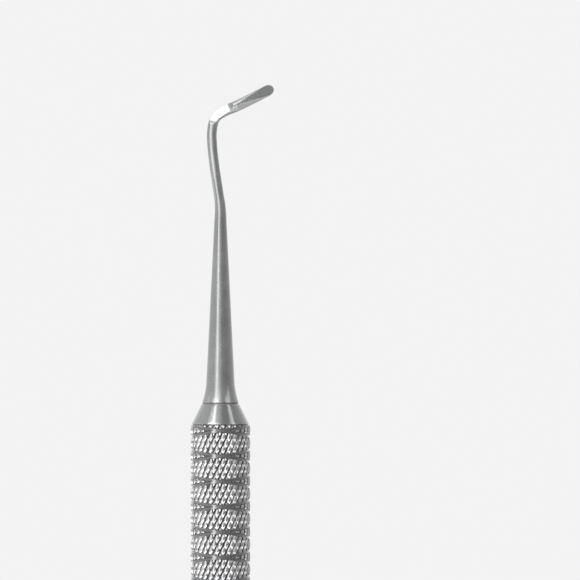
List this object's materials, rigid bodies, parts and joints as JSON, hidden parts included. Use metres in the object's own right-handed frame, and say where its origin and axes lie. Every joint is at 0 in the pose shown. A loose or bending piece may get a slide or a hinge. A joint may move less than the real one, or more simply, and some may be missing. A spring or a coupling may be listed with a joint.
{
  "type": "dental elevator",
  "caption": "Double-ended dental hand elevator: hollow knurled round handle with crossed grooves, a cone at each end and a tapered shank with a bent flat blade.",
  "frame": {"origin": "on the handle's axis, half way along the handle, where the hand or a cassette rail holds it", "axes": "+Z along the handle towards the upper working end, +X the way both blades lean, -Y the side the main view looks at"},
  "size_m": [0.0139, 0.0094, 0.1784],
  "materials": {
    "handle_steel": "bright polished stainless steel, diamond knurled",
    "cone_steel": "satin turned stainless steel",
    "blade_steel": "satin ground stainless steel",
    "braze": "dull dark brazing alloy"
  },
  "bodies": {
    "root": {"handle_tube": "handle_steel", "upper_nose_cone": "cone_steel", "upper_braze_ring": "braze", "upper_working_end": "blade_steel", "lower_nose_cone": "cone_steel", "lower_braze_ring": "braze", "lower_working_end": "blade_steel"}
  },
  "joints": []
}
